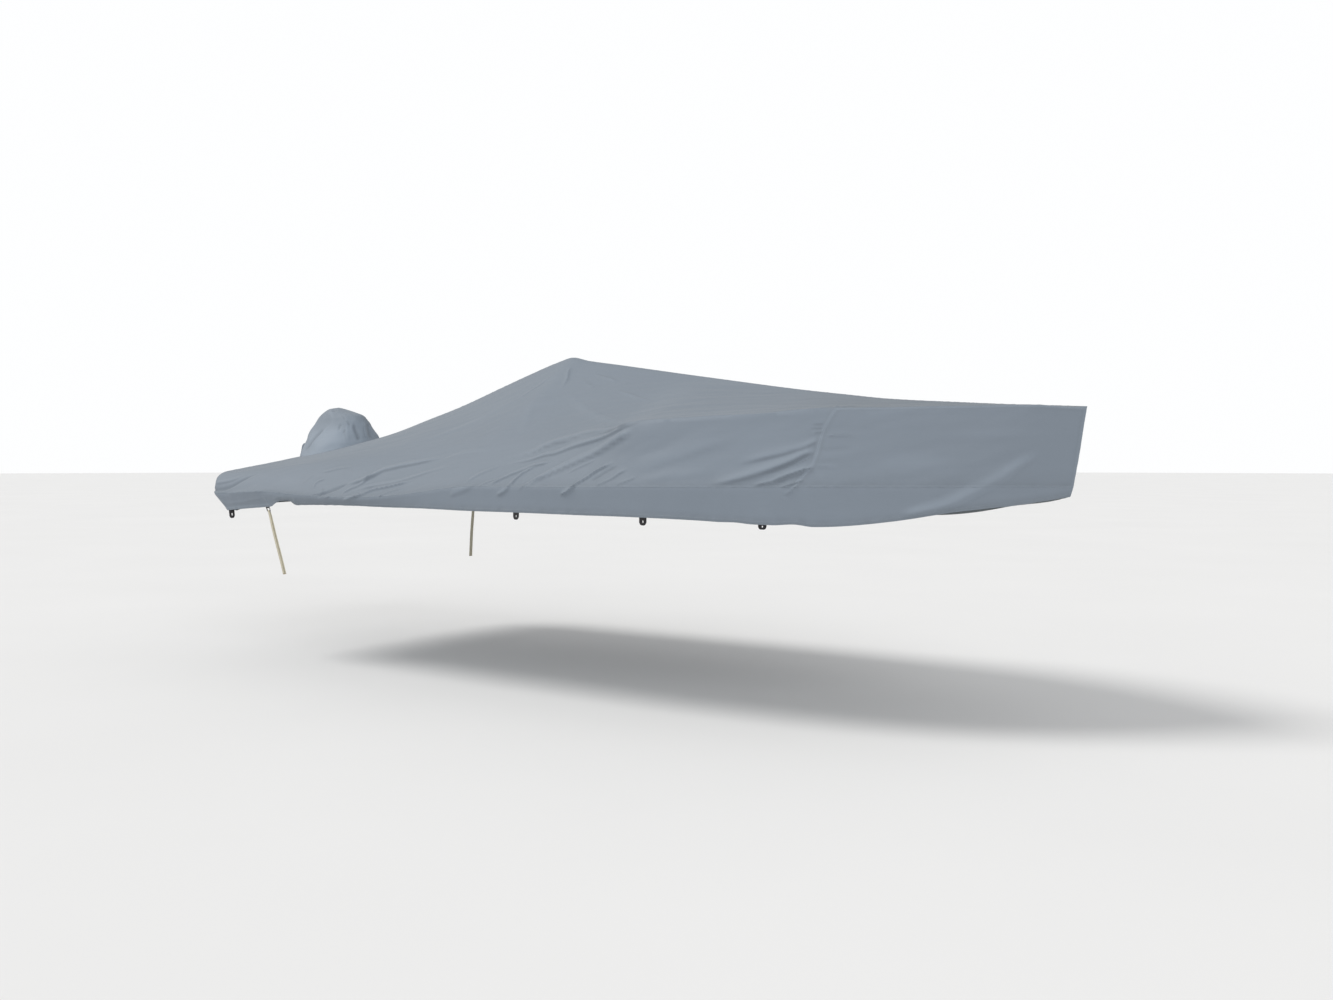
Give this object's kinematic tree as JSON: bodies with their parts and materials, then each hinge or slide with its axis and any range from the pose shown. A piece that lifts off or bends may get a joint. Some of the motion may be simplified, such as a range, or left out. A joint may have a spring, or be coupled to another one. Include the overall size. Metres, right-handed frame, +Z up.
{
  "type": "boat cover",
  "caption": "Fitted cloth cover for an open motor boat: peaked top over a console, high bow over the rail, hood over the outboard motor, skirt with webbing loops and tie-down straps.",
  "frame": {"origin": "underside of the cloth at the cover's peak, on the centreline, where the boat's console or support pole carries it", "axes": "+X from stern to bow, +Y to port, +Z up"},
  "size_m": [6.7645, 2.5382, 1.6899],
  "materials": {
    "cloth": "grey coated woven polyester, matt with a faint sheen",
    "black_webbing": "black woven webbing, matt",
    "tan_webbing": "cream to tan woven webbing, matt"
  },
  "bodies": {
    "root": {"top_panel_starboard": "cloth", "bow_panel_starboard": "cloth", "skirt_starboard": "cloth", "top_panel_port": "cloth", "bow_panel_port": "cloth", "skirt_port": "cloth", "stern_panel": "cloth", "motor_hood": "cloth", "hood_tab": "cloth", "loop_stern_starboard": "black_webbing", "loop_strap_starboard": "black_webbing", "loop_aft_starboard": "black_webbing", "loop_mid_starboard": "black_webbing", "loop_fore_starboard": "black_webbing", "strap_starboard": "tan_webbing", "loop_stern_port": "black_webbing", "loop_strap_port": "black_webbing", "loop_aft_port": "black_webbing", "loop_mid_port": "black_webbing", "loop_fore_port": "black_webbing", "strap_port": "tan_webbing"}
  },
  "joints": []
}
